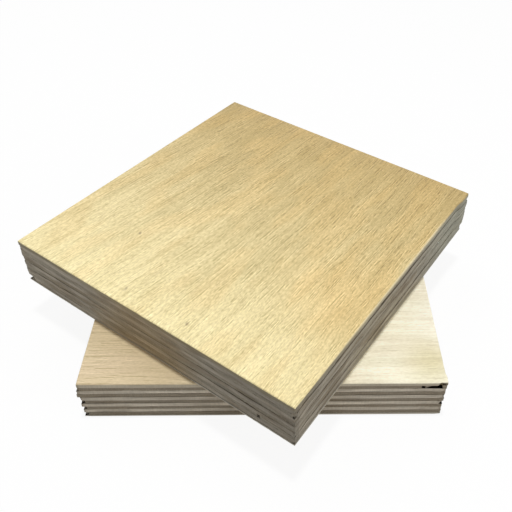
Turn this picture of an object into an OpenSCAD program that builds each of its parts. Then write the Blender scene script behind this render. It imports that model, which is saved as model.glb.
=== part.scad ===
// Two square pieces of plywood, one laid on the other and turned on it.
// Each sheet is a board of peeled veneers, glued face to face with the grain of each
// veneer across that of the next, then sawn square and sanded. Millimetres, +Z up.
// The origin is the centre of the lower sheet's underside, and +X runs along that
// sheet's face grain. In its own frame each sheet has its face grain along X.

/* [Lower sheet] */
// Length along the face grain
lower_along = 100; // [60:1:300]
// Width across the face grain
lower_across = 100; // [60:1:300]

/* [Upper sheet] */
// Length along the face grain
upper_along = 101; // [60:1:300]
// Width across the face grain
upper_across = 99; // [60:1:300]
// Turn of the upper sheet's face grain from the lower sheet's, seen from above
upper_turn = 54.7; // [0:0.1:180]
// How far the upper sheet's centre lies to the right of the lower sheet's
upper_x = -3.4; // [-25:0.1:25]
// How far the upper sheet's centre lies behind the lower sheet's
upper_y = 1.7; // [-25:0.1:25]

/* [Veneers] */
// Veneers in a sheet, an odd number, so that face and back have their grain the same way
ply_count = 11; // [5:2:21]
// Thickness of the face veneer after sanding
face_t = 1.2; // [0.4:0.05:2]
// Thickness of each veneer between the lower sheet's face and back
lower_inner_t = 1.45; // [0.8:0.05:3]
// Thickness of each veneer between the upper sheet's face and back
upper_inner_t = 1.55; // [0.8:0.05:3]
// Thickness of the back veneer, which is sanded further than the face
back_t = 0.75; // [0.4:0.05:2]

/* [Sawn edges] */
// How far an inner veneer's torn end grain lies behind the face veneer's edge
end_setback = 0.1; // [0:0.05:0.6]
// Largest further step from one inner veneer's edge to the next
edge_step = 0.2; // [0:0.05:0.6]
// Choice of the small steps from veneer to veneer
edge_seed = 4; // [1:1:99]
// Sanded bevel along the outer edges of the face and back veneers
arris = 0.15; // [0.05:0.05:0.35]

/* [Damage] */
// Width of the splinter lost from the lower sheet's top crossband, near its right corner
splinter_w = 6; // [2:0.5:15]
// Length of that splinter along its grain, in from the front edge
splinter_l = 4; // [1:0.5:15]
// What is left of that crossband between the splinter's place and the corner
splinter_inset = 1; // [0.5:0.5:10]
// Size of the small chips at the corners of single veneers
chip = 1.2; // [0.5:0.1:3]
// Length of the sliver lost from the upper sheet's lowest crossband at its left corner
sliver_l = 3.5; // [1:0.5:10]
// Width of the gap between two strips of one of the upper sheet's long bands
gap_w = 1.2; // [0.5:0.1:4]
// How far in from the edge that gap runs
gap_l = 3; // [1:0.5:15]
// Where that gap starts, from the upper sheet's front corner
gap_inset = 10.5; // [3:0.5:40]

/* [Hidden] */
LOWER = 0;
UPPER = 1;
SHEET_NAMES = ["lower", "upper"];

// Cuts run this far past the surfaces that they leave
overcut = 1;

// Corners of a sheet seen with its face grain running left to right, as the signs of x and y
NEAR_LEFT = [-1, -1];
NEAR_RIGHT = [1, -1];
FAR_LEFT = [-1, 1];

face_tone = "#e6d6a6";
long_tone = "#b3a189";
cross_tone = "#87765f";

// Veneers are numbered from the face, 1, to the back, ply_count
function is_outer(ply) = ply == 1 || ply == ply_count;
function is_crossband(ply) = ply % 2 == 0;
function inner_t(sheet) = sheet == LOWER ? lower_inner_t : upper_inner_t;
function ply_t(sheet, ply) = ply == 1 ? face_t : ply == ply_count ? back_t : inner_t(sheet);
function ply_bottom(sheet, ply) =
    ply == ply_count ? 0 : back_t + inner_t(sheet) * (ply_count - 1 - ply);
function sheet_t(sheet) = ply_bottom(sheet, 1) + face_t;

function ply_name(ply) =
    ply == 1 ? "face_veneer" :
    ply == ply_count ? "back_veneer" :
    is_crossband(ply) ? str("crossband_", ply) : str("long_band_", ply);
function node_name(sheet, ply) = str(SHEET_NAMES[sheet], "_", ply_name(ply));

function sheet_size(sheet) =
    sheet == LOWER ? [lower_along, lower_across] : [upper_along, upper_across];

// How far a veneer's left, right, near and far edges lie inside the sheet's outline.
// The face and back keep the outline, and end grain tears back further than long grain.
function setbacks(sheet, ply) =
    is_outer(ply) ? [0, 0, 0, 0] :
    rands(0, edge_step, 4, edge_seed + ply_count * sheet + ply)
        + end_setback * (is_crossband(ply) ? [0, 0, 1, 1] : [1, 1, 0, 0]);

// Outlines of lost pieces, measured inwards from the corner of a sheet, along x and y
function corner_chip(x, y) =
    [[-overcut, -overcut], [x, -overcut], [x, 0], [0, y], [-overcut, y]];
function splinter() =
    let (far = splinter_inset + splinter_w)
    [[splinter_inset, -overcut], [far, -overcut], [far, splinter_l / 2], [splinter_inset, splinter_l]];
function strip_gap() =
    [[-overcut, gap_inset], [gap_l, gap_inset], [gap_l, gap_inset + gap_w], [-overcut, gap_inset + gap_w]];

// Each lost piece: its sheet, its veneer, the corner that it is measured from, its outline
lost = [
    [LOWER, 2, NEAR_RIGHT, splinter()],
    [LOWER, 7, NEAR_RIGHT, corner_chip(chip, chip)],
    for (ply = [6, 8, 10]) [LOWER, ply, NEAR_LEFT, corner_chip(chip, 2 * chip)],
    [UPPER, 3, NEAR_LEFT, corner_chip(chip, chip)],
    [UPPER, 9, NEAR_LEFT, strip_gap()],
    [UPPER, 10, FAR_LEFT, corner_chip(chip, sliver_l)],
];

// A plain veneer at its height in the sheet, sawn on four sides
module blank(sheet, ply) {
    size = sheet_size(sheet);
    inset = setbacks(sheet, ply);
    translate([inset[0] - size.x / 2, inset[2] - size.y / 2, ply_bottom(sheet, ply)])
        cube([size.x - inset[0] - inset[1], size.y - inset[2] - inset[3], ply_t(sheet, ply)]);
}

// What has broken out of one veneer
module lost_pieces(sheet, ply) {
    half = sheet_size(sheet) / 2;
    for (piece = lost) {
        corner = piece[2];
        if (piece[0] == sheet && piece[1] == ply)
            translate([0, 0, ply_bottom(sheet, ply) - overcut])
                linear_extrude(ply_t(sheet, ply) + 2 * overcut)
                    polygon([for (p = piece[3]) [corner.x * (half.x - p.x), corner.y * (half.y - p.y)]]);
    }
}

// Four square bars, each turned on edge along one side of the sheet, to bevel it at height z
module arris_cut(sheet, z) {
    size = sheet_size(sheet);
    bar = arris * sqrt(2);
    for (side = [0 : 3]) {
        reach = side % 2 == 0 ? size.x : size.y;
        run = side % 2 == 0 ? size.y : size.x;
        rotate(90 * side)
            translate([reach / 2, 0, z])
                rotate([0, 45, 0])
                    cube([bar, run + 2 * overcut, bar], center = true);
    }
}

module face_veneer(sheet) {
    color(face_tone)
        difference() {
            blank(sheet, 1);
            arris_cut(sheet, sheet_t(sheet));
        }
}

module back_veneer(sheet) {
    color(face_tone)
        difference() {
            blank(sheet, ply_count);
            arris_cut(sheet, 0);
        }
}

module crossband(sheet, ply) {
    color(cross_tone)
        difference() {
            blank(sheet, ply);
            lost_pieces(sheet, ply);
        }
}

module long_band(sheet, ply) {
    color(long_tone)
        difference() {
            blank(sheet, ply);
            lost_pieces(sheet, ply);
        }
}

// Puts a sheet where it lies in the stack
module placed(sheet) {
    if (sheet == LOWER)
        children();
    else
        translate([upper_x, upper_y, sheet_t(LOWER)]) rotate(upper_turn) children();
}

for (sheet = [LOWER, UPPER]) {
    placed(sheet) face_veneer(sheet);
    for (ply = [2 : 2 : ply_count - 1])
        placed(sheet) crossband(sheet, ply);
    for (ply = [3 : 2 : ply_count - 2])
        placed(sheet) long_band(sheet, ply);
    placed(sheet) back_veneer(sheet);
}
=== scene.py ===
# %% [markdown]
# # Two plywood sheets, one laid on the other
# Plywood is a stack of peeled veneers glued with crossed grain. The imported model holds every
# veneer as a plain plate, and this lesson gives each one its sawn edge, its sanded face and
# its wood. We load the plates first, because all that follows takes its place from them.

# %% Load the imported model
import math

import bpy
import numpy as np
from mathutils import Matrix, Vector


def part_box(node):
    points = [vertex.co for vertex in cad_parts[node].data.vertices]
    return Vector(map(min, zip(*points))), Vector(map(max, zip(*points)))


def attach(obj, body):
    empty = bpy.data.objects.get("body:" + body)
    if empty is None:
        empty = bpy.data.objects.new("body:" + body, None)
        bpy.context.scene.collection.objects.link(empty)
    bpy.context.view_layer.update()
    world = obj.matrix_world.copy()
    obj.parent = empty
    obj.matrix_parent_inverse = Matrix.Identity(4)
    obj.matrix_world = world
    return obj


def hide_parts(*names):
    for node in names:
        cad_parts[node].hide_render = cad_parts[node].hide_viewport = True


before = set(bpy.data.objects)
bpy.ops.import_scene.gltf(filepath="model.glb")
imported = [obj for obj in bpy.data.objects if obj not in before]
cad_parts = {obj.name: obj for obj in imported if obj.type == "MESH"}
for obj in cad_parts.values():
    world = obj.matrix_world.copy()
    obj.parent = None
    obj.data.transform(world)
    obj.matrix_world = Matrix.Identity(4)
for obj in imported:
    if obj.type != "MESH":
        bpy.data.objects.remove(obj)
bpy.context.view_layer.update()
MM = 0.001

# %% [markdown]
# ## The camera
# The picture was taken from close by, looking down on the near edge of the lower sheet. A
# camera can be turned by hand until it looks right, but corners whose sizes are known pin it
# down better. These numbers put the sheets' corners on the picture's corners. The picture
# was cropped off centre, so the lens is shifted by what the crop took away.

# %% Set the camera
PICTURE_SIZE = 512
FOCAL_PIXELS = 633.4
AXIS_PIXEL = (312.3, 234.7)
CAMERA_PLACE = Vector((4.5, -151.2, 158.4)) * MM
CAMERA_AZIMUTH = math.radians(3.66)
CAMERA_PITCH = math.radians(41.49)
CAMERA_ROLL = math.radians(2.83)


def camera_turn(azimuth, pitch, roll):
    """Columns are the camera's right, up and backward directions; azimuth turns it from +Y
    towards +X, pitch tips it down, and roll then turns it about its line of sight."""
    level_way = Vector((math.sin(azimuth), math.cos(azimuth), 0))
    ahead = level_way * math.cos(pitch) - Vector((0, 0, math.sin(pitch)))
    level = ahead.cross(Vector((0, 0, 1))).normalized()
    upright = level.cross(ahead)
    right = level * math.cos(roll) + upright * math.sin(roll)
    up = upright * math.cos(roll) - level * math.sin(roll)
    return Matrix((right, up, -ahead)).transposed()


camera_data = bpy.data.cameras.new("camera")
camera_data.sensor_width = 36.0
camera_data.lens = camera_data.sensor_width * FOCAL_PIXELS / PICTURE_SIZE
camera_data.shift_x = (PICTURE_SIZE / 2 - AXIS_PIXEL[0]) / PICTURE_SIZE
camera_data.shift_y = (AXIS_PIXEL[1] - PICTURE_SIZE / 2) / PICTURE_SIZE
camera_data.clip_start = 0.01
camera = bpy.data.objects.new("camera", camera_data)
bpy.context.scene.collection.objects.link(camera)
turn = camera_turn(CAMERA_AZIMUTH, CAMERA_PITCH, CAMERA_ROLL).to_4x4()
camera.matrix_world = Matrix.Translation(CAMERA_PLACE) @ turn
bpy.context.scene.camera = camera
print("lens in mm:", round(camera_data.lens, 2))

# %% [markdown]
# ## Where the sheets lie
# Every veneer of a sheet shares one centre and one direction of face grain. Working in the
# sheet's own millimetres, with the face grain along x, makes each veneer a plain rectangle.

# %% Describe the two sheets
PLY_COUNT = 11
FACE_GRAIN_DEGREES = {"lower": 0.0, "upper": 54.7}


def node_name(sheet, ply):
    """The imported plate's name; plies count from the face, 1, down to the back."""
    if ply == 1:
        return f"{sheet}_face_veneer"
    if ply == PLY_COUNT:
        return f"{sheet}_back_veneer"
    return f"{sheet}_crossband_{ply}" if ply % 2 == 0 else f"{sheet}_long_band_{ply}"


def sheet_centre(sheet):
    """The middle of the face veneer's box, in metres, on plan."""
    low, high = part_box(node_name(sheet, 1))
    return np.array(((low + high) / 2)[:2])


def own_directions(sheet):
    """Rows are the sheet's own x and y directions on plan."""
    angle = math.radians(FACE_GRAIN_DEGREES[sheet])
    return np.array([[math.cos(angle), math.sin(angle)], [-math.sin(angle), math.cos(angle)]])


def own_to_world(sheet, points):
    """Turns plan points in the sheet's own millimetres by its grain's angle and moves them to
    its centre, in metres."""
    return points @ own_directions(sheet) * MM + sheet_centre(sheet)


def world_to_own(sheet, points):
    """The reverse of own_to_world."""
    return (points - sheet_centre(sheet)) @ own_directions(sheet).T / MM


for sheet in FACE_GRAIN_DEGREES:
    print(sheet, "centre in mm:", (sheet_centre(sheet) / MM).round(2))

# %% [markdown]
# ## The sawn outline of a veneer
# The plates already have the outline that the saw and a few lost splinters left. A plate is
# loose triangles, so the outline is found as the edges that only one triangle of its flat
# side uses. Walking round it in short steps gives the path that an edge profile can follow.

# %% Read outlines and walk round them
WELD_DIGITS = 7
LEVEL = 0.99


def sawn_outline(sheet, ply):
    """Corners of the veneer's plan, counter-clockwise from the one nearest the sheet's own
    (-x, -y) corner, in the sheet's own millimetres. They are read from the flat side that
    the arris bevel leaves whole: the face veneer's lower side, every other one's upper."""
    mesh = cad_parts[node_name(sheet, ply)].data
    mesh.calc_loop_triangles()
    places = np.empty(len(mesh.vertices) * 3, np.float32)
    mesh.vertices.foreach_get("co", places)
    triangles = np.empty(len(mesh.loop_triangles) * 3, np.int32)
    mesh.loop_triangles.foreach_get("vertices", triangles)
    corners, index = np.unique(places.reshape(-1, 3).round(WELD_DIGITS), axis=0, return_inverse=True)
    triangles = index.reshape(-1)[triangles.reshape(-1, 3)]
    a, b, c = (corners[triangles[:, k]] for k in range(3))
    lift = np.cross(b - a, c - a)
    upward = lift[:, 2] / np.linalg.norm(lift, axis=1)
    flat = triangles[upward < -LEVEL][:, ::-1] if ply == 1 else triangles[upward > LEVEL]
    sides = {(int(t[k]), int(t[(k + 1) % 3])) for t in flat for k in range(3)}
    follow = {start: end for start, end in sides if (end, start) not in sides}
    chain = [min(follow)]
    while follow[chain[-1]] != chain[0]:
        chain.append(follow[chain[-1]])
    outline = world_to_own(sheet, corners[chain][:, :2])
    return np.roll(outline, -outline.sum(axis=1).argmin(), axis=0)


def walk(outline, steps):
    """Points round the outline with steps[k] of them on side k, and the outward direction at
    each: square to its side, and at a corner half-way between its two sides."""
    along = np.roll(outline, -1, axis=0) - outline
    length = np.linalg.norm(along, axis=1)
    square = np.stack([along[:, 1], -along[:, 0]], axis=1) / length[:, None]
    share = np.concatenate([np.arange(n) / n for n in steps])
    side = np.repeat(np.arange(len(outline)), steps)
    points = outline[side] + along[side] * share[:, None]
    outward = square[side]
    mitre = square + np.roll(square, 1, axis=0)
    mitre /= np.maximum((mitre ** 2).sum(axis=1, keepdims=True) / 2, 0.5)
    outward[share == 0] = mitre
    return points, outward


for sheet in FACE_GRAIN_DEGREES:
    print(sheet, "corners per veneer:", [len(sawn_outline(sheet, ply)) for ply in range(1, PLY_COUNT + 1)])

# %% [markdown]
# ## Random but repeatable unevenness
# Wood is never even, so edges and faces need noise. Blender's textures could displace them,
# but a small function of our own gives the same heights on every run, and gives them as
# whole arrays.

# %% Define the noise
NOISE_CELLS = 256


def noise(u, v, seed):
    """Smooth heights from -1 to 1 over the plane: random numbers at whole-number points,
    blended from one to the next by 3t^2 - 2t^3."""
    table = np.random.default_rng(seed).uniform(-1, 1, (NOISE_CELLS, NOISE_CELLS))
    whole_u, whole_v = np.floor(u).astype(int), np.floor(v).astype(int)
    part_u, part_v = u - whole_u, v - whole_v
    blend_u, blend_v = part_u ** 2 * (3 - 2 * part_u), part_v ** 2 * (3 - 2 * part_v)

    def corner(du, dv):
        return table[(whole_u + du) % NOISE_CELLS, (whole_v + dv) % NOISE_CELLS]

    near = corner(0, 0) * (1 - blend_u) + corner(1, 0) * blend_u
    far = corner(0, 1) * (1 - blend_u) + corner(1, 1) * blend_u
    return near * (1 - blend_v) + far * blend_v


def lumps(u, v, size, seed):
    """Noise whose lumps are size[0] long along u and size[1] along v."""
    return noise(u / size[0], v / size[1], seed)


def smooth_step(x, low, high):
    """0 below low, 1 above high, and 3t^2 - 2t^3 between."""
    t = np.clip((x - low) / (high - low), 0, 1)
    return t * t * (3 - 2 * t)


sample = noise(np.linspace(0, 40, 400), np.zeros(400), 1)
print("noise runs from", sample.min().round(2), "to", sample.max().round(2))

# %% [markdown]
# ## Wavy glue lines
# Veneers are peeled a little uneven and pressed together wet, so the glue lines on a sawn
# edge wander by a tenth or two of a millimetre, and sink where the face veneer came out
# thick. Two neighbours share each line. So its level is one function of the place on plan,
# and both of them read it.

# %% Let the glue lines wave
GLUE_LINE_WAVE = {"lower": 0.07, "upper": 0.34}
WAVE_SIZE = (10.0, 10.0)
RIPPLE_SIZE = (3.5, 3.5)
RIPPLE_SHARE = 0.45
SINK_ALONG = (-50.0, 50.0)
SINK_AT_ENDS = {"lower": (0.5, 0.1), "upper": (0.35, 0.35)}
LEAST_SINK = {"lower": 0.9, "upper": 0.4}


def seed_of(sheet, ply, use):
    """A number for the random generator, different for each veneer and use."""
    return 1000 * use + 100 * list(FACE_GRAIN_DEGREES).index(sheet) + ply


def glue_line(sheet, ply, points):
    """Height in mm of the glue line above a veneer over its level: long noise over the plan, less
    a sink that goes from one end of the sheet to the other and is deepest under the face. The
    sheet's two outer faces stay flat."""
    if ply in (1, PLY_COUNT + 1):
        return np.zeros(len(points))
    x, y = points.T
    wave = lumps(x, y, WAVE_SIZE, seed_of(sheet, ply, 1))
    ripple = lumps(x, y, RIPPLE_SIZE, seed_of(sheet, ply, 2))
    uneven = (1 - RIPPLE_SHARE) * wave + RIPPLE_SHARE * ripple
    left, right = SINK_AT_ENDS[sheet]
    sink = left + (right - left) * smooth_step(x, *SINK_ALONG)
    least = LEAST_SINK[sheet]
    share = least + (1 - least) * (PLY_COUNT + 1 - ply) / (PLY_COUNT - 1)
    return GLUE_LINE_WAVE[sheet] * uneven - share * sink


line = glue_line("upper", 5, np.column_stack([np.full(200, -50.0), np.linspace(-49, 49, 200)]))
print("one glue line wanders from", line.min().round(2), "to", line.max().round(2), "mm")

# %% [markdown]
# ## The sawn edge
# A saw leaves the two kinds of veneer different. Where the grain runs along the edge the cut
# is smooth, with long shallow scores. Where the grain ends at the edge, the fibres tear, so
# the cut is pitted. Towards the corners the veneers' steps even out, and each corner is
# knocked back by its own amount.

# %% Work out the edge's depth
# Sizes of the saw's traces along the edge and upright, in mm
BOW_SIZE = (17.0, 40.0)
SCORE_SIZE = (5.0, 0.3)
SAW_SIZE = (0.7, 2.5)
PIT_SIZE = (0.55, 0.4)
TEAR_SIZE = (2.2, 0.9)
# Their depths in mm
BOW_DEPTH = 0.05
SCORE_DEPTH = 0.02
SAW_DEPTH = 0.01
PIT_DEPTH = 0.1
TEAR_DEPTH = 0.12
END_CUT_MEAN = 0.04
TEAR_RARITY = 0.25
SANDED_CALM = 0.35
LEAST_WEAR = 0.1
CORNER_WEAR = 0.1
CORNER_REACH = 1.3
EVEN_REACH = 6.0
EVENED_MOST = 0.3
EVENED_SHARE = 0.7


def end_grain_share(ply, outward):
    """1 where the grain meets the edge head-on, 0 where it runs along it. The grain runs along the
    sheet's own x, or y in a crossband."""
    return np.abs(outward[:, 1 if ply % 2 == 0 else 0]).clip(0, 1) ** 2


def edge_depth(sheet, ply, points, outward, shares, thickness):
    """Depth in mm of the sawn edge behind its outline, for every ring height and path point.
    Long grain: scores stretched along the edge. End grain: pits of equal size both ways. Both
    are shallow where the sheet was sanded, on its face and back. Near the sheet's corners the
    veneer comes most of the way out to the face's outline and is then worn back."""
    run = (points[:, 0] * np.abs(outward[:, 1]) + points[:, 1] * np.abs(outward[:, 0]))[None, :]
    tall = (shares * thickness)[:, None]
    end_grain = end_grain_share(ply, outward)[None, :]

    def trace(size, use):
        return lumps(run, tall, size, seed_of(sheet, ply, use))

    bow, scores, saw = trace(BOW_SIZE, 3), trace(SCORE_SIZE, 4), trace(SAW_SIZE, 5)
    pits = np.clip(trace(PIT_SIZE, 6), 0, 1)
    torn = np.clip(trace(TEAR_SIZE, 7) - TEAR_RARITY, 0, 1)
    long_cut = SCORE_DEPTH * scores + SAW_DEPTH * saw
    end_cut = PIT_DEPTH * pits + TEAR_DEPTH * torn + SAW_DEPTH * saw - END_CUT_MEAN
    cut = BOW_DEPTH * bow + long_cut * (1 - end_grain) + end_cut * end_grain
    calm = SANDED_CALM if ply in (1, PLY_COUNT) else 1.0
    from_corner = (np.abs(points).max(axis=0) - np.abs(points)).max(axis=1)
    wear = np.random.default_rng(seed_of(sheet, ply, 8)).uniform(LEAST_WEAR, 1) * CORNER_WEAR
    worn = wear * (1 - smooth_step(from_corner, 0, CORNER_REACH))
    half = sawn_outline(sheet, 1).max(axis=0)
    behind = (half * np.abs(outward) - points * outward).sum(axis=1) / (outward ** 2).sum(axis=1)
    near_corner = EVENED_SHARE * (1 - smooth_step(from_corner, 0, EVEN_REACH))
    evened = behind.clip(0, EVENED_MOST) * near_corner
    return calm * cut + (worn - evened)[None, :]


points, outward = walk(sawn_outline("lower", 4), [40] * len(sawn_outline("lower", 4)))
depth = edge_depth("lower", 4, points, outward, np.linspace(0, 1, 5), 1.45)
print("depth of one edge in mm:", depth.min().round(3), "to", depth.max().round(3))

# %% [markdown]
# ## Dents and burrs
# Noise can't put damage where the picture shows it, so that is placed one by one. Each mark is
# a stretch of one veneer on one side, either dented or standing proud. The one that stands
# out furthest is a bundle of fibres left in the place of the lost splinter.

# %% Place the dents and burrs
# Sheet, ply and side, then the middle of the stretch, half its length and its depth in mm
EDGE_MARKS = [
    ("upper", 2, (0, -1), -6.0, 2.4, 0.6),
    ("lower", 1, (0, -1), 48.7, 0.9, 0.7),
    ("lower", 1, (1, 0), -49.5, 3.0, -0.3),
    ("lower", 2, (0, -1), 45.2, 1.7, -2.2),
    *[("lower", ply, (-1, 0), -49.0, 3.0, depth) for ply, depth in ((2, 0.4), (3, -0.5), (4, -0.5))],
    *[("upper", ply, (0, -1), 50.0, 8.0, -0.5) for ply in range(1, 9)],
]
DENT_TAPER = (0.6, 1.0)
FACING = 0.9


def on_side(outward, side):
    """True where the outline faces the way of the given side."""
    return outward @ np.array(side) > FACING


def along_side(points, side):
    """How far along a side each point lies from the side's middle, in mm."""
    return points @ np.abs(side[::-1])


def edge_marks(sheet, ply, points, outward, shares):
    """Shift on plan in mm where a veneer is dented, or stands proud if the depth is negative:
    square to its side, full over the middle of the listed stretch and tapering to its ends. A
    dent tapers to the veneer's top as well."""
    shift = np.zeros((len(shares), len(points), 2))
    for mark_sheet, mark_ply, side, middle, half_length, depth in EDGE_MARKS:
        if (mark_sheet, mark_ply) == (sheet, ply):
            from_middle = np.abs(along_side(points, side) - middle)
            along = on_side(outward, side) * (1 - smooth_step(from_middle, half_length / 2, half_length))
            upright = 1 - smooth_step(shares, *DENT_TAPER) if depth > 0 else np.ones(len(shares))
            shift -= depth * np.outer(upright, along)[..., None] * np.array(side)
    return shift


print("marks placed by hand:", len(EDGE_MARKS))

# %% [markdown]
# ## A rim carried round the outline
# The visible rim of a veneer is a profile carried round its sawn outline. Each step of the
# profile gives one ring of points, and neighbouring rings are joined by quads. The profile's
# ends are eased by a hair, so that a fine groove marks each glue line. The saw stood a little
# askew on some sides, so their cuts lean, and the foot of the sheet is wider than its head.

# %% Carry a profile round the outline
GLUE_GROOVE = 0.03
SAW_LEAN = {
    ("upper", (0, -1)): 0.35,
    ("upper", (-1, 0)): 0.15,
    ("lower", (-1, 0)): 0.4,
    ("lower", (1, 0)): 0.4,
}


def ring_faces(rings, count):
    """Quads between neighbouring rings of count points, closed round, facing outwards when the
    rings rise and the path runs counter-clockwise."""
    ring, step = np.meshgrid(np.arange(rings - 1), np.arange(count), indexing="ij")
    after = (step + 1) % count
    low, high = ring * count, (ring + 1) * count
    return np.stack([low + step, low + after, high + after, high + step], axis=-1).reshape(-1, 4)


def heights(sheet, ply):
    """Lowest and highest level of a veneer in the stack, in mm."""
    low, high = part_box(node_name(sheet, ply))
    return low.z / MM, high.z / MM


def saw_lean(sheet, outward, rise):
    """Shift on plan in mm where the saw stood askew: none at the sheet's head, the listed amount
    outwards at its foot, and in proportion between."""
    foot, head = heights(sheet, PLY_COUNT)[0], heights(sheet, 1)[1]
    shift = np.zeros((*rise.shape, 2))
    for (leaning_sheet, side), lean in SAW_LEAN.items():
        if leaning_sheet == sheet:
            leaning = lean * on_side(outward, side) * (head - rise) / (head - foot)
            shift += leaning[..., None] * np.array(side)
    return shift


def rim_rings(sheet, ply, points, outward, shares, insets):
    """Rings of plan points and heights: share f of the way up between the veneer's two glue
    lines, the path moved inwards by the sawn depth plus the profile's own inset there, then
    shifted by its dents, its burrs and the saw's lean."""
    foot, head = heights(sheet, ply)
    below, above = glue_line(sheet, ply + 1, points), glue_line(sheet, ply, points)
    rise = foot + below + shares[:, None] * (head - foot + above - below)
    depth = edge_depth(sheet, ply, points, outward, shares, head - foot)
    plan = points[None] - outward[None] * (depth + insets[:, None])[..., None]
    plan += edge_marks(sheet, ply, points, outward, shares) + saw_lean(sheet, outward, rise)
    return np.concatenate([plan, rise[..., None]], axis=-1)


print("quads on a rim of 9 rings and 1100 points:", len(ring_faces(9, 1100)))

# %% [markdown]
# ## An inner veneer
# Only the rim of an inner veneer can be seen. Its profile goes in under the veneer above,
# down the sawn edge and in again below, and two flat caps close it. The inner rings lie
# level, so that neighbours meet face to face inside the sheet.

# %% Build an inner veneer
RIM_STEP = 0.36
RIM_SHARES = np.array([0.0, 0.05, 0.2, 0.4, 0.6, 0.8, 0.95, 1.0])
CAP_INSET = 2.0
NARROW_CAP_INSET = {("lower", 2): 0.2}
GLUE_SHOWN = {"lower": 0.4, "upper": 0.28}


def inner_veneer(sheet, ply):
    """Vertices, quads, caps and marks of a veneer between the face and the back: the rim's
    rings, with one more ring inside at top and bottom, level, where the caps start. Beside
    the lost splinter the veneer is narrow, so its inner rings stay close to the rim."""
    outline = sawn_outline(sheet, ply)
    length = np.linalg.norm(np.roll(outline, -1, axis=0) - outline, axis=1)
    points, outward = walk(outline, np.maximum(2, np.ceil(length / RIM_STEP).astype(int)))
    at_glue = (RIM_SHARES == 0) | (RIM_SHARES == 1)
    rim = rim_rings(sheet, ply, points, outward, RIM_SHARES, GLUE_GROOVE * at_glue)
    rings = np.concatenate([rim[:1], rim, rim[-1:]])
    inset = NARROW_CAP_INSET.get((sheet, ply), CAP_INSET)
    rings[[0, -1], :, :2] -= outward * inset
    rings[0, :, 2], rings[-1, :, 2] = heights(sheet, ply)
    count = len(points)
    caps = [np.arange(count)[::-1], np.arange(count) + (len(rings) - 1) * count]
    marks = {
        "end_grain": np.tile(end_grain_share(ply, outward), len(rings)),
        "glue": np.repeat(np.concatenate([[1], GLUE_SHOWN[sheet] * at_glue, [1]]), count),
    }
    return rings.reshape(-1, 3), ring_faces(len(rings), count), caps, marks


made = inner_veneer("lower", 4)
print("an inner veneer has", len(made[0]), "vertices and", len(made[1]), "quads")

# %% [markdown]
# ## The sanded face
# A face veneer is sanded flat, but its pores stay open: short fine furrows along the grain,
# a few hundredths of a millimetre deep, whose paths wander slowly. On the upper sheet they
# fan out, so that the far part of the face has its grain a few degrees askew. They could be
# left to bump alone. As heights of a grid they also stay in the mesh. The face has a few pin
# knots, small dark pits whose places are listed.

# %% Work out the face's pores
SLOW_WANDER = 0.6
SLOW_SIZE = (36.0, 15.0)
QUICK_WANDER = 0.1
QUICK_SIZE = (9.0, 6.0)
STREAK_DEPTH = 0.008
STREAK_SIZE = (4.0, 0.55)
PORE_DEPTH = 0.02
PORE_SIZE = (2.6, 0.5)
PORE_PEAKS = (0.42, 0.85)
KNOT_DEPTH = 0.09
KNOT_STRETCH = 1.5
FLAT_MARGIN = (0.2, 0.8)
FAN_SLOPE = {"lower": 0.0, "upper": 0.1}
FAN_ACROSS = (-20.0, 15.0)
PIN_KNOTS = {"upper": [(-27.3, 23.2, 0.35), (-46.0, 9.9, 0.38), (-45.8, -12.0, 0.34)], "lower": []}


def face_wander(sheet, x, y):
    """How far in mm the grain's path strays sideways: slow noise along and across, plus x times
    a slope that grows across the sheet from none to the fan's."""
    slow = lumps(x, y, SLOW_SIZE, seed_of(sheet, 1, 11))
    quick = lumps(x, y, QUICK_SIZE, seed_of(sheet, 1, 12))
    fan = FAN_SLOPE[sheet] * smooth_step(y, *FAN_ACROSS) * x
    return SLOW_WANDER * slow + QUICK_WANDER * quick + fan


def face_relief(sheet, ply, x, y):
    """Depth below the face in mm, and marks from 0 to 1 for pores and knots. Streaks are noise
    stretched along the grain; pores are the sparse peaks of a second such noise; a pin knot
    falls off with the square of the distance from its middle."""
    across = y + face_wander(sheet, x, y)
    streak = 0.5 - 0.5 * lumps(x, across, STREAK_SIZE, seed_of(sheet, ply, 13))
    pore = smooth_step(lumps(x, across, PORE_SIZE, seed_of(sheet, ply, 14)), *PORE_PEAKS)
    knot = np.zeros(x.shape)
    for knot_x, knot_y, radius in PIN_KNOTS[sheet] if ply == 1 else []:
        apart = (x - knot_x) ** 2 / KNOT_STRETCH + (y - knot_y) ** 2
        knot = np.maximum(knot, np.exp(-apart / radius ** 2))
    from_edge = np.minimum(np.abs(x).max() - np.abs(x), np.abs(y).max() - np.abs(y))
    depth = STREAK_DEPTH * streak + PORE_DEPTH * pore + KNOT_DEPTH * knot
    return depth * smooth_step(from_edge, *FLAT_MARGIN), pore, knot


grid_x, grid_y = np.meshgrid(np.linspace(-50, 50, 120), np.linspace(-50, 50, 300))
depth, pore, knot = face_relief("upper", 1, grid_x, grid_y)
print("face relief reaches", depth.max().round(3), "mm; share of open pore:", pore.mean().round(3))

# %% [markdown]
# ## A grid inside a ring
# The flat side of a face veneer is a grid whose border is the rim's last ring, so the two
# share their points and leave no seam. Inside, each grid point blends the four edges, which
# is called a Coons patch.

# %% Fill a ring with a grid
def border_index(along, across):
    """Grid of along by across cells that holds, on its border, the number of the ring point
    there (near side, right, far side, left), and -1 inside."""
    index = np.full((across + 1, along + 1), -1)
    index[0, :-1] = np.arange(along)
    index[:-1, -1] = along + np.arange(across)
    index[-1, :0:-1] = along + across + np.arange(along)
    index[:0:-1, 0] = 2 * along + across + np.arange(across)
    return index


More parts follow.
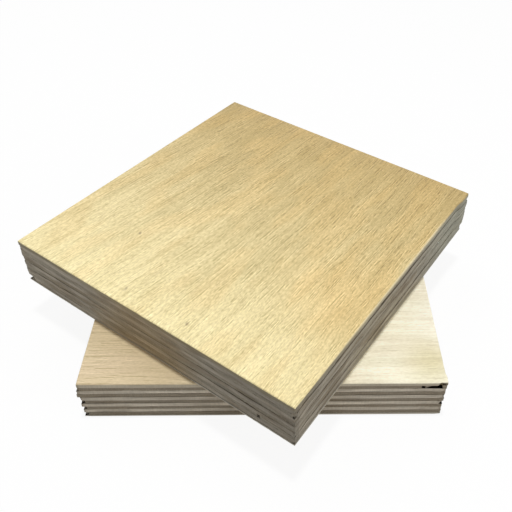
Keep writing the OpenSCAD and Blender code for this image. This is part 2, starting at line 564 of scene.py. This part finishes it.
def coons_patch(border):
    """Points inside a grid whose border is given: the blend of left and right edges plus the
    blend of near and far edges, less the blend of the four corners."""
    t = np.linspace(0, 1, border.shape[0])[:, None, None]
    s = np.linspace(0, 1, border.shape[1])[None, :, None]
    sides = border[:, :1] * (1 - s) + border[:, -1:] * s
    ends = border[:1] * (1 - t) + border[-1:] * t
    corners = ends[:, :1] * (1 - s) + ends[:, -1:] * s
    return sides + ends - corners


print("points inside a grid of 126 by 396 cells:", (border_index(126, 396) < 0).sum())

# %% [markdown]
# ## A face or back veneer
# These two show their flat side as well as their rim. The rim is carried round as before,
# with a small bevel where sandpaper broke the arris, and the grid closes it. One arris of
# the upper face gets a painted highlight, which reaches down its rim.

# %% Build a face or back veneer
ARRIS = {1: 0.15, PLY_COUNT: 0.06}
CELL_ALONG = {1: 0.8, PLY_COUNT: 1.6}
CELL_ACROSS = {1: 0.25, PLY_COUNT: 0.6}
FACE_RIM_SHARES = np.array([0.0, 0.06, 0.25, 0.5, 0.75])
SANDED_ABOVE = 0.8
# Painted highlight along the upper face's -y arris, reaching down its rim
ARRIS_HIGHLIGHT = {("upper", 1): ((0, -1), (-45.0, -15.0, 25.0, 38.0))}
ARRIS_HIGHLIGHT_MOST = 0.7
ARRIS_HIGHLIGHT_UP = (-0.2, 1.0)


def arris_highlight_share(sheet, ply, points, outward):
    """How strong the painted highlight on an edge is: wholly between the middle two of the listed
    places along its side, fading out to the outer two."""
    if (sheet, ply) not in ARRIS_HIGHLIGHT:
        return np.zeros(len(points))
    side, (start, full, wane, end) = ARRIS_HIGHLIGHT[sheet, ply]
    run = along_side(points, side)
    return on_side(outward, side) * smooth_step(run, start, full) * (1 - smooth_step(run, wane, end))


def faced_veneer(sheet, ply):
    """Vertices, quads, caps and marks of a sheet's face or back. Rings run from foot to head;
    the open side is the head of a face and the foot of a back."""
    outline = sawn_outline(sheet, ply)
    size = outline.max(axis=0) - outline.min(axis=0)
    along, across = round(size[0] / CELL_ALONG[ply]), round(size[1] / CELL_ACROSS[ply])
    points, outward = walk(outline, [along, across, along, across])
    foot, head = heights(sheet, ply)
    shares = np.append(FACE_RIM_SHARES, [1 - ARRIS[ply] / (head - foot), 1.0])
    insets = np.where(shares == 0, GLUE_GROOVE, 0.0) + np.where(shares == 1, ARRIS[ply], 0.0)
    sawn = np.where(shares > SANDED_ABOVE, 0.0, 1.0)
    arris_highlight = ARRIS_HIGHLIGHT_MOST * smooth_step(shares, *ARRIS_HIGHLIGHT_UP)
    if ply == PLY_COUNT:
        shares, insets, sawn, arris_highlight = 1 - shares[::-1], insets[::-1], sawn[::-1], arris_highlight[::-1]
    rim = rim_rings(sheet, ply, points, outward, shares, insets)
    cap_at, open_ring = (0, len(shares)) if ply == 1 else (len(shares), 0)
    cap_ring = rim[0 if ply == 1 else -1].copy()
    cap_ring[:, :2] -= outward * CAP_INSET
    cap_ring[:, 2] = foot if ply == 1 else head
    rings = np.insert(rim, cap_at, cap_ring, axis=0)
    sawn, arris_highlight = np.insert(sawn, cap_at, 1.0), np.insert(arris_highlight, cap_at, 0.0)
    count = len(points)
    index = border_index(along, across)
    inside = index < 0
    patch = coons_patch(rings[open_ring][index])
    depth, pore, knot = face_relief(sheet, ply, patch[..., 0], patch[..., 1])
    patch[..., 2] -= depth * (1 if ply == 1 else -1)
    index = np.where(inside, 0, index + open_ring * count)
    index[inside] = len(rings) * count + np.arange(inside.sum())
    cells = [index[:-1, :-1], index[:-1, 1:], index[1:, 1:], index[1:, :-1]]
    flat = np.stack(cells, axis=-1).reshape(-1, 4)
    cap = np.arange(count)[::-1] if ply == 1 else np.arange(count) + (len(rings) - 1) * count
    quads = np.concatenate([ring_faces(len(rings), count), flat if ply == 1 else flat[:, ::-1]])
    on_rim, on_flat = np.zeros(len(rings) * count), np.zeros(inside.sum())
    marks = {
        "end_grain": np.append(np.tile(end_grain_share(ply, outward), len(rings)), on_flat),
        "sawn": np.append(np.repeat(sawn, count), on_flat),
        "pore": np.append(on_rim, pore[inside]),
        "knot": np.append(on_rim, knot[inside]),
        "pale": np.append(np.outer(arris_highlight, arris_highlight_share(sheet, ply, points, outward)), on_flat),
    }
    return np.concatenate([rings.reshape(-1, 3), patch[inside]]), quads, [cap], marks


made = faced_veneer("upper", 1)
print("a face veneer has", len(made[0]), "vertices and", len(made[1]), "quads")

# %% [markdown]
# ## From arrays to a mesh
# foreach_set copies a whole array into Blender at once, which for a million numbers is far
# quicker than a loop. The marks become attributes of the vertices, and the materials read
# them to tell a sawn edge from a sanded face, and end grain from long grain. Each veneer
# also gets a tone of its own, since no two are cut from the same log. The upper sheet's
# front-left edge gets painted light and shade: painted warm bounce light makes it brown in
# the middle, and painted shade darkens it towards the front corner. Its front-right edge is
# painted lighter and greyer towards the right corner, as painted light.

# %% Turn arrays into a mesh
SHARP_ANGLE = math.radians(38)
TONE_SPREAD = 0.09
PAINTED_EDGE_DEPTH = 2.0
# Painted shade on the upper's -x edge, painted warm bounce light in its middle, and painted light greying
# its -y edge towards +x
PAINTED_SHADE = {"lower": 0.0, "upper": 0.24}
PAINTED_SHADE_REACH = 55.0
PAINTED_BOUNCE = {"lower": 0.0, "upper": 0.5}
PAINTED_BOUNCE_REACH = (4.0, 25.0)
PAINTED_EDGE_LIGHT = {"lower": 0.0, "upper": 0.5}
PAINTED_EDGE_LIGHT_ALONG = (5.0, 45.0)


def tone_and_painted_light_marks(sheet, ply, vertices):
    """How bright each vertex's wood is, how brown and how grey. Bright: the veneer's own random
    tone, less painted shade on the sheet's own -x edge, which is full at its -y corner and fades
    along it. Brown: painted warm bounce light, a share on that edge about its middle. Grey:
    painted light, a share on the -y edge that grows towards +x."""
    tone = 1 + TONE_SPREAD * np.random.default_rng(seed_of(sheet, ply, 9)).uniform(-1, 1)
    x, y = vertices[:, 0], vertices[:, 1]
    on_painted_edge = x < x.min() + PAINTED_EDGE_DEPTH
    painted_shade = PAINTED_SHADE[sheet] * on_painted_edge * (1 - smooth_step(y - y.min(), 0, PAINTED_SHADE_REACH))
    brown = PAINTED_BOUNCE[sheet] * on_painted_edge * (1 - smooth_step(np.abs(y), *PAINTED_BOUNCE_REACH))
    grey = PAINTED_EDGE_LIGHT[sheet] * (y < y.min() + PAINTED_EDGE_DEPTH) * smooth_step(x, *PAINTED_EDGE_LIGHT_ALONG)
    return {"tone": tone * (1 - painted_shade), "brown": brown, "grey": grey}


def make_piece(sheet, ply, vertices, quads, caps, marks):
    """A mesh object from own-millimetre vertices, with its place in the mesh, in metres."""
    mesh = bpy.data.meshes.new(f"{node_name(sheet, ply)}_wood")
    places = np.column_stack([own_to_world(sheet, vertices[:, :2]), vertices[:, 2] * MM])
    corners = np.concatenate([quads.ravel(), *caps])
    sizes = np.concatenate([np.full(len(quads), 4), [len(cap) for cap in caps]])
    mesh.vertices.add(len(places))
    mesh.vertices.foreach_set("co", places.ravel())
    mesh.loops.add(len(corners))
    mesh.loops.foreach_set("vertex_index", corners.astype(np.int32))
    mesh.polygons.add(len(sizes))
    mesh.polygons.foreach_set("loop_start", (np.cumsum(sizes) - sizes).astype(np.int32))
    mesh.update(calc_edges=True)
    mesh.polygons.foreach_set("use_smooth", np.ones(len(sizes), bool))
    mesh.set_sharp_from_angle(angle=SHARP_ANGLE)
    for name, values in {**marks, **tone_and_painted_light_marks(sheet, ply, vertices)}.items():
        mesh.attributes.new(name, "FLOAT", "POINT").data.foreach_set("value", values.astype(np.float32))
    piece = bpy.data.objects.new(mesh.name, mesh)
    bpy.context.scene.collection.objects.link(piece)
    return piece


pieces = {}
for sheet in FACE_GRAIN_DEGREES:
    for ply in range(1, PLY_COUNT + 1):
        build = faced_veneer if ply in (1, PLY_COUNT) else inner_veneer
        pieces[sheet, ply] = make_piece(sheet, ply, *build(sheet, ply))
triangles = [sum(len(p.vertices) - 2 for p in piece.data.polygons) for piece in pieces.values()]
print(len(pieces), "pieces,", sum(triangles), "triangles, most in one:", max(triangles))

# %% [markdown]
# ## Helpers for wood in nodes
# Wood is noise stretched along the grain, at several sizes. Each material starts from Object
# coordinates. A Mapping node enlarges them to millimetres, turns them back by the grain's
# angle and centres them on the sheet, so x runs along the fibres.

# %% Define the node helpers
def srgb(red, green, blue):
    """A colour as seen in a picture, 0 to 255, as the linear numbers that a shader takes."""
    seen = np.array([red, green, blue]) / 255
    linear = np.where(seen <= 0.04045, seen / 12.92, ((seen + 0.055) / 1.055) ** 2.4)
    return (*linear.tolist(), 1.0)


def add(tree, kind, sockets=(), **settings):
    """Adds a node and fills its sockets: another node's output is linked, a value is set."""
    node = tree.nodes.new("ShaderNode" + kind)
    for name, value in settings.items():
        setattr(node, name, value)
    for key, value in dict(sockets).items():
        if isinstance(value, bpy.types.NodeSocket):
            tree.links.new(value, node.inputs[key])
        else:
            node.inputs[key].default_value = value
    return node


def grain_place(tree, sheet, crossed):
    """Place in mm with x along the veneer's grain and y across it."""
    angle = math.radians(FACE_GRAIN_DEGREES[sheet] + (90 if crossed else 0))
    centre = Vector((*(sheet_centre(sheet) / MM), 0))
    sockets = {
        "Vector": add(tree, "TexCoord").outputs["Object"],
        "Location": -(Matrix.Rotation(-angle, 3, "Z") @ centre),
        "Rotation": (0, 0, -angle),
        "Scale": (1 / MM, 1 / MM, 1 / MM),
    }
    return add(tree, "Mapping", sockets).outputs[0]


def grain_noise(tree, place, size, detail=2.0):
    """Noise with lumps of the given size in mm along the grain, across it and upright."""
    scale = tuple(1 / s for s in size)
    scaled = reckon_vector(tree, "MULTIPLY", place, scale)
    return add(tree, "TexNoise", {"Vector": scaled, "Scale": 1.0, "Detail": detail}).outputs[0]


def spread(tree, value, low, high, to_low=0.0, to_high=1.0):
    """Maps low to high onto to_low to to_high, smoothly, and holds the ends."""
    sockets = {"Value": value, "From Min": low, "From Max": high, "To Min": to_low, "To Max": to_high}
    return add(tree, "MapRange", sockets, interpolation_type="SMOOTHSTEP").outputs[0]


def reckon(tree, operation, first, second):
    """One sum, product or other operation of two numbers."""
    return add(tree, "Math", {0: first, 1: second}, operation=operation).outputs[0]


def reckon_vector(tree, operation, first, second):
    """The same for two vectors or colours."""
    return add(tree, "VectorMath", {0: first, 1: second}, operation=operation).outputs[0]


def mix_colour(tree, share, first, second):
    """The first colour, turning into the second as share goes from 0 to 1."""
    return add(tree, "Mix", {0: share, 6: first, 7: second}, data_type="RGBA").outputs[2]


def mix_number(tree, share, first, second):
    """The same for two numbers."""
    return add(tree, "Mix", {0: share, 2: first, 3: second}).outputs[0]


def mark(tree, name):
    """One of the vertices' own marks."""
    return add(tree, "Attribute", attribute_name=name).outputs["Fac"]


print("a mid colour of 128 is", round(srgb(128, 128, 128)[0], 3), "to a shader")

# %% [markdown]
# ## The colour of a sawn edge
# Long grain at the edge is pale and streaked lengthwise. End grain drinks light between its
# open cells, so it is darker and stippled. Both are crossed by faint upright saw marks,
# have uneven patches and brown stains, and a thin dark line shows where the glue squeezed
# out. A photo of an edge could be wrapped round it, but noise has no seam and no end.

# %% Colour the sawn edges
LONG_GRAIN = {"lower": srgb(204, 193, 175), "upper": srgb(168, 158, 141)}
END_GRAIN = {"lower": srgb(140, 129, 110), "upper": srgb(153, 144, 126)}
STAIN = srgb(112, 92, 60)
# Painted warm bounce light and painted light, laid on the upper sheet's edges
PAINTED_BOUNCE_BROWN = srgb(157, 133, 94)
PAINTED_LIGHT_GREY = srgb(176, 179, 161)
GLUE = srgb(62, 52, 40)
GLUE_STRENGTH = 0.9
STAIN_SHARE = {"lower": 0.2, "upper": 0.45}
STAIN_PEAKS = (0.48, 0.66)
# Most of a noise lies between these
NOISE_RANGE = (0.3, 0.7)
STREAK_SHADES = (0.86, 1.12)
PORE_SHADES = (0.78, 1.18)
SAW_SHADES = (0.94, 1.05)
PATCH_SHADES = {"lower": (0.93, 1.06), "upper": (0.84, 1.13)}
# Lumps in mm along the grain, across it and upright, then the noise's detail
EDGE_NOISES = {
    "streaks": ((7.0, 0.32, 0.32), 3.0),
    "pores": ((2.5, 0.22, 0.22), 2.0),
    "patches": ((8.0, 8.0, 1.6), 2.0),
    "saw_marks": ((0.45, 0.45, 9.0), 1.0),
    "blots": ((11.0, 11.0, 2.2), 1.0),
}


def sawn_wood(tree, place, sheet):
    """Colour and height of a sawn edge: grain streaks or pores times saw marks times patches
    times the veneer's own tone, which holds painted shade too. Stains, painted bounce brown,
    painted light grey and glue lie over the colour."""
    end_grain = mark(tree, "end_grain")
    noises = {name: grain_noise(tree, place, *look) for name, look in EDGE_NOISES.items()}
    along = spread(tree, noises["streaks"], *NOISE_RANGE, *STREAK_SHADES)
    across = spread(tree, noises["pores"], *NOISE_RANGE, *PORE_SHADES)
    patches = spread(tree, noises["patches"], *NOISE_RANGE, *PATCH_SHADES[sheet])
    saw_marks = spread(tree, noises["saw_marks"], *NOISE_RANGE, *SAW_SHADES)
    shade = mix_number(tree, end_grain, along, across)
    for factor in (patches, saw_marks, mark(tree, "tone")):
        shade = reckon(tree, "MULTIPLY", shade, factor)
    stains = spread(tree, noises["blots"], *STAIN_PEAKS, 0.0, STAIN_SHARE[sheet])
    glue = reckon(tree, "MULTIPLY", mark(tree, "glue"), GLUE_STRENGTH)
    brown, grey = mark(tree, "brown"), mark(tree, "grey")
    colour = mix_colour(tree, end_grain, LONG_GRAIN[sheet], END_GRAIN[sheet])
    for share, tone in ((stains, STAIN), (brown, PAINTED_BOUNCE_BROWN), (grey, PAINTED_LIGHT_GREY), (glue, GLUE)):
        colour = mix_colour(tree, share, colour, tone)
    shaded = add(tree, "VectorMath", {0: colour, "Scale": shade}, operation="SCALE").outputs[0]
    return shaded, mix_number(tree, end_grain, noises["streaks"], noises["pores"])


print("a sawn edge mixes", len(EDGE_NOISES), "noises")

# %% [markdown]
# ## The inner veneers' materials
# Colour alone looks painted on. So the noise that streaks the wood also raises fine bumps,
# and makes some fibres a little smoother than others.

# %% Make the inner veneers' materials
BUMP_STRENGTH = 0.8
SAWN_BUMP_DEPTH = 0.04 * MM
SAWN_ROUGHNESS = (0.85, 0.7)


def new_material(name):
    """An empty node material, and its tree to build in."""
    material = bpy.data.materials.new(name)
    material.use_nodes = True
    material.node_tree.nodes.clear()
    return material, material.node_tree


def wood_shader(tree, colour, roughness, height, depth):
    """A bare wood surface: colour, roughness and fine bumps on the principled shader."""
    bump = add(tree, "Bump", {"Height": height, "Distance": depth, "Strength": BUMP_STRENGTH}).outputs[0]
    sockets = {"Base Color": colour, "Roughness": roughness, "Normal": bump}
    shader = add(tree, "BsdfPrincipled", sockets).outputs[0]
    add(tree, "OutputMaterial", {"Surface": shader})


def band_material(sheet, crossed):
    """The wood of the inner veneers of one sheet and one grain direction."""
    material, tree = new_material(f"{sheet}_{'crossband' if crossed else 'long_band'}")
    place = grain_place(tree, sheet, crossed)
    colour, height = sawn_wood(tree, place, sheet)
    roughness = spread(tree, height, *NOISE_RANGE, *SAWN_ROUGHNESS)
    wood_shader(tree, colour, roughness, height, SAWN_BUMP_DEPTH)
    return material


kinds = [(sheet, crossed) for sheet in FACE_GRAIN_DEGREES for crossed in (False, True)]
bands = {kind: band_material(*kind) for kind in kinds}
print("band materials:", [material.name for material in bands.values()])

# %% [markdown]
# ## The tint of a sanded face
# A sanded face is paler than the edge, and its colour drifts along the grain, from one tone
# to a second and, at the far end, to a third. On the upper face this drift is painted sheen:
# pale towards its -x edge and darker towards the far end. On the lower face it is partly the
# wood's own tone and partly painted shade, darker towards the -x end, and its pale +x part is
# partly painted light. Blots of pink or yellow lie over it, and one warmer patch. The blots
# follow the grain, so the place that they are read from is bent first, with the same fan as
# the pores.

# %% Tint the faces
# Tones along each face's grain: painted sheen on the upper face, partly the wood's own tone and partly
# painted shade and light on the lower
FACE_TONES = {
    ("lower", 1): (srgb(217, 197, 158), srgb(255, 249, 222)),
    ("upper", 1): (srgb(253, 239, 184), srgb(190, 165, 108)),
    ("lower", PLY_COUNT): (srgb(222, 203, 162), srgb(212, 190, 146)),
    ("upper", PLY_COUNT): (srgb(220, 200, 158), srgb(210, 188, 144)),
}
TONE_AND_LIGHT_DRIFT = {"lower": (-30.0, 26.0), "upper": (-100.0, 60.0)}
FAR_END = (38.0, 53.0)
# Painted light at the lower face's far end, and the darker far end of the upper face's painted sheen
FAR_END_LIGHT_AND_SHADE = {"lower": srgb(255, 250, 228), "upper": srgb(188, 163, 108)}
STRAY_LUMPS = (60.0, 25.0, 40.0)
BLUSH = {"lower": srgb(233, 209, 178), "upper": srgb(226, 187, 115)}
BLUSH_SHARE = {"lower": 0.2, "upper": 0.18}
BLUSH_PEAKS = (0.45, 0.65)
BLUSH_LUMPS = (22.0, 7.0, 40.0)
WARM = {"lower": srgb(214, 202, 149), "upper": srgb(226, 187, 115)}
WARM_PATCH = {"lower": (47.0, -43.0), "upper": (-13.0, -41.0)}
WARM_REACH = {"lower": 12.0, "upper": 26.0}
WARM_SHARE = {"lower": 0.65, "upper": 0.4}


def bent_place(tree, place, x, y, sheet):
    """The place moved across the grain by up to 1 mm of slow noise, plus x times the fan's slope."""
    stray = spread(tree, grain_noise(tree, place, STRAY_LUMPS), 0.0, 1.0, -1.0, 1.0)
    fan = reckon(tree, "MULTIPLY", x, spread(tree, y, *FAN_ACROSS, 0.0, FAN_SLOPE[sheet]))
    move = add(tree, "CombineXYZ", {"Y": reckon(tree, "ADD", stray, fan)}).outputs[0]
    return reckon_vector(tree, "ADD", place, move)


def face_tint(tree, place, bent, x, sheet, tones):
    """The tones one after the other along x, which hold painted sheen, light and shade as well as
    the wood's tone, then blots of blush, then the patch, which fades with the distance from its
    middle."""
    blots = grain_noise(tree, bent, BLUSH_LUMPS, 1.0)
    blush = spread(tree, blots, *BLUSH_PEAKS, 0.0, BLUSH_SHARE[sheet])
    apart = {0: reckon_vector(tree, "MULTIPLY", place, (1.0, 1.0, 0.0)), 1: (*WARM_PATCH[sheet], 0.0)}
    from_patch = add(tree, "VectorMath", apart, operation="DISTANCE").outputs["Value"]
    patch = spread(tree, from_patch, 0.0, WARM_REACH[sheet], WARM_SHARE[sheet], 0.0)
    far = spread(tree, x, *FAR_END)
    colour = mix_colour(tree, spread(tree, x, *TONE_AND_LIGHT_DRIFT[sheet]), *tones)
    for share, tone in ((far, FAR_END_LIGHT_AND_SHADE), (blush, BLUSH), (patch, WARM)):
        colour = mix_colour(tree, share, colour, tone[sheet])
    return colour


print("tinted sides:", len(FACE_TONES))

# %% [markdown]
# ## The grain of a sanded face
# Wide soft bands, streaks and fine fibres make the tint uneven. Broken dark lines are cut
# vessels, fainter towards one end, and the same noise read a little to one side gives the
# light that glints beside them.

# %% Work out the faces' shades
FACE_NOISES = {
    "bands": ((60.0, 8.0, 40.0), 2.0),
    "clouds": ((13.0, 4.5, 40.0), 2.0),
    "streaks": ((24.0, 0.9, 4.0), 3.0),
    "dashes": ((8.5, 0.38, 4.0), 1.0),
    "cuts": ((2.4, 0.8, 4.0), 1.0),
    "fibres": ((1.1, 0.45, 1.0), 2.0),
}
FACE_STREAKS = (0.35, 0.65, 0.94, 1.05)
DASH_PEAKS = (0.52, 0.62)
DASH_DEPTH = {"lower": 0.14, "upper": 0.35}
DASHES_ALONG = (-60.0, 15.0)
DASHES_AT_ENDS = {"lower": (1.8, 0.7), "upper": (0.5, 1.15)}
CUT_PEAKS = (0.42, 0.55)
GLINT_STEP = (0.15, 0.26, 0.0)
GLINT_SHARE = 0.6
LUMP_SHARES = {"fibres": 0.36, "bands": 0.12, "clouds": 0.14}
WARMTH = (0.95, 1.05, 1.45)


def face_shades(tree, bent, x, sheet):
    """Factors for red, green and blue, and the streaks' noise. The shade is streaks, plus glints,
    less dashes, times fibres, bands and clouds. It is raised to a power of its own for each
    colour, so that dark wood is warmer too."""
    noises = {name: grain_noise(tree, bent, *look) for name, look in FACE_NOISES.items()}
    glints = grain_noise(tree, reckon_vector(tree, "ADD", bent, GLINT_STEP), *FACE_NOISES["dashes"])
    strength = spread(tree, x, *DASHES_ALONG, *DASHES_AT_ENDS[sheet])
    cuts = reckon(tree, "MULTIPLY", spread(tree, noises["cuts"], *CUT_PEAKS), strength)
    depth = DASH_DEPTH[sheet]
    dark = reckon(tree, "MULTIPLY", spread(tree, noises["dashes"], *DASH_PEAKS, 0.0, depth), cuts)
    light = reckon(tree, "MULTIPLY", spread(tree, glints, *DASH_PEAKS, 0.0, GLINT_SHARE * depth), cuts)
    shade = reckon(tree, "ADD", spread(tree, noises["streaks"], *FACE_STREAKS), light)
    shade = reckon(tree, "SUBTRACT", shade, dark)
    for name, share in LUMP_SHARES.items():
        uneven = spread(tree, noises[name], *NOISE_RANGE, 1 - share * depth, 1 + share * depth)
        shade = reckon(tree, "MULTIPLY", shade, uneven)
    shades = {axis: reckon(tree, "POWER", shade, power) for axis, power in zip("XYZ", WARMTH)}
    return add(tree, "CombineXYZ", shades).outputs[0], noises["streaks"]


print("a sanded face mixes", len(FACE_NOISES) + 1, "noises")

# %% [markdown]
# ## The faces' materials
# Pores and pin knots are painted over the grain where the mesh marks them, and the rim gets
# the sawn wood. The back's rim is mixed towards a pale grey, which is painted bounce light
# from the floor, and one arris of the upper face gets a painted highlight. The gloss varies
# with the streaks, because sanded wood shines along its fibres.

# %% Make the faces' materials
PORE = srgb(168, 142, 98)
PORE_STRENGTH = 0.12
KNOT = srgb(126, 104, 74)
ARRIS_HIGHLIGHT_TONE = srgb(238, 225, 187)
# The face's rim has its own olive tint; the back's pale grey rim is painted bounce light from the floor
RIM_TINT_AND_BOUNCE = {1: srgb(158, 145, 110), PLY_COUNT: srgb(196, 190, 176)}
RIM_TINT_AND_BOUNCE_SHARE = {1: 0.3, PLY_COUNT: 0.5}
RIM_ROUGHNESS = 0.8
SANDED_ROUGHNESS = (0.52, 0.42)
FACE_BUMP_DEPTH = 0.03 * MM


def face_wood(tree, place, sheet, tones):
    """Colour and height of a sanded face: its tint times its shades, then pores and knots."""
    x, y, _ = add(tree, "SeparateXYZ", {0: place}).outputs
    bent = bent_place(tree, place, x, y, sheet)
    shades, streaks = face_shades(tree, bent, x, sheet)
    tint = face_tint(tree, place, bent, x, sheet, tones)
    colour = reckon_vector(tree, "MULTIPLY", tint, shades)
    pores = reckon(tree, "MULTIPLY", mark(tree, "pore"), PORE_STRENGTH)
    colour = mix_colour(tree, pores, colour, PORE)
    return mix_colour(tree, mark(tree, "knot"), colour, KNOT), streaks


def face_material(sheet, ply):
    """The wood of a face or back veneer: sanded on its flat side, sawn on its rim."""
    material, tree = new_material(node_name(sheet, ply))
    place = grain_place(tree, sheet, False)
    sawn = mark(tree, "sawn")
    face_colour, face_height = face_wood(tree, place, sheet, FACE_TONES[sheet, ply])
    edge_colour, edge_height = sawn_wood(tree, place, sheet)
    rim_colour = mix_colour(tree, RIM_TINT_AND_BOUNCE_SHARE[ply], edge_colour, RIM_TINT_AND_BOUNCE[ply])
    colour = mix_colour(tree, sawn, face_colour, rim_colour)
    # Painted highlight along one arris
    colour = mix_colour(tree, mark(tree, "pale"), colour, ARRIS_HIGHLIGHT_TONE)
    height = mix_number(tree, sawn, face_height, edge_height)
    sanded = spread(tree, face_height, *NOISE_RANGE, *SANDED_ROUGHNESS)
    wood_shader(tree, colour, mix_number(tree, sawn, sanded, RIM_ROUGHNESS), height, FACE_BUMP_DEPTH)
    return material


faces = {key: face_material(*key) for key in FACE_TONES}
print("face materials:", [material.name for material in faces.values()])

# %% [markdown]
# ## Dress the stack
# Each new piece stands for one plate and rides on the only body. The plate stays for
# collision and is hidden.

# %% Give each piece its wood and body
for (sheet, ply), piece in pieces.items():
    outer = ply in (1, PLY_COUNT)
    crossed = ply % 2 == 0
    piece.data.materials.append(faces[sheet, ply] if outer else bands[sheet, crossed])
    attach(piece, "root")
    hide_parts(node_name(sheet, ply))
print("dressed:", len(pieces))

# %% [markdown]
# ## Floor and background
# The picture's background is pure white. More light on the floor would whiten it, but would
# also spoil the wood's colours. So the camera sees the floor mostly as a plain white glow,
# with a share of true shading left in it to carry the shadow, while light bounces off it as
# off any pale floor. The world does the same.

# %% Make the floor and the world
FLOOR_HALF = 1.5
FLOOR_SHADING = 0.09
FLOOR_PALE = (0.8, 0.8, 0.79, 1.0)
WHITE = (1.0, 1.0, 1.0, 1.0)
AMBIENT = 0.27


def seen_directly(tree):
    """1 for rays from the camera, from glossy surfaces and through glass, 0 for others."""
    path = add(tree, "LightPath").outputs
    either = reckon(tree, "MAXIMUM", path["Is Camera Ray"], path["Is Glossy Ray"])
    return reckon(tree, "MAXIMUM", either, path["Is Transmission Ray"])


floor_mesh = bpy.data.meshes.new("floor")
square = np.array([[-1, -1, 0], [1, -1, 0], [1, 1, 0], [-1, 1, 0]]) * FLOOR_HALF
floor_mesh.from_pydata(square.tolist(), [], [[0, 1, 2, 3]])
floor = bpy.data.objects.new("floor", floor_mesh)
bpy.context.scene.collection.objects.link(floor)
floor_material, tree = new_material("pale_floor")
glow = add(tree, "Emission", {"Color": WHITE, "Strength": 1.0}).outputs[0]
shaded = add(tree, "BsdfDiffuse", {"Color": WHITE}).outputs[0]
seen = add(tree, "MixShader", {0: FLOOR_SHADING, 1: glow, 2: shaded}).outputs[0]
bounced = add(tree, "BsdfDiffuse", {"Color": FLOOR_PALE}).outputs[0]
surface = add(tree, "MixShader", {0: seen_directly(tree), 1: bounced, 2: seen}).outputs[0]
add(tree, "OutputMaterial", {"Surface": surface})
floor_mesh.materials.append(floor_material)

world = bpy.data.worlds.new("studio")
world.use_nodes = True
tree = world.node_tree
tree.nodes.clear()
backdrop = add(tree, "Background", {"Color": WHITE, "Strength": 1.0}).outputs[0]
ambient = add(tree, "Background", {"Color": WHITE, "Strength": AMBIENT}).outputs[0]
both = add(tree, "MixShader", {0: seen_directly(tree), 1: ambient, 2: backdrop}).outputs[0]
add(tree, "OutputWorld", {"Surface": both})
bpy.context.scene.world = world
bpy.context.scene.view_settings.view_transform = "Standard"
print("floor is", 2 * FLOOR_HALF, "m wide")

# %% [markdown]
# ## The light
# In the picture the upper sheet's shadow is a dark line less than a millimetre wide beside
# its front edges, so the main light is nearly overhead and small. The upper face shines
# towards its front-left side, so a weak second lamp stands behind on the left, and a third
# on the right makes the front-right edges a little brighter than the front-left ones.

# %% Place the lamps
# Place, aim and size in metres, then watts
LAMPS = {
    "top_light": ((0.003, -0.023, 0.75), (0, 0, 0.03), 0.045, 3.1),
    "back_left_light": ((-0.20, 0.34, 0.54), (0, 0, 0.03), 0.35, 0.6),
    "right_fill": ((0.5, -0.25, 0.27), (0, 0, 0.02), 0.3, 0.49),
}


def soft_box(name, place, aim, size, watts):
    """A square area lamp at place, facing aim, both in metres."""
    lamp = bpy.data.lights.new(name, "AREA")
    lamp.size = size
    lamp.energy = watts
    box = bpy.data.objects.new(name, lamp)
    bpy.context.scene.collection.objects.link(box)
    facing = (Vector(aim) - Vector(place)).to_track_quat("-Z", "Y").to_matrix().to_4x4()
    box.matrix_world = Matrix.Translation(Vector(place)) @ facing


for name, settings in LAMPS.items():
    soft_box(name, *settings)
print("lamps:", [lamp.name for lamp in bpy.data.lights])
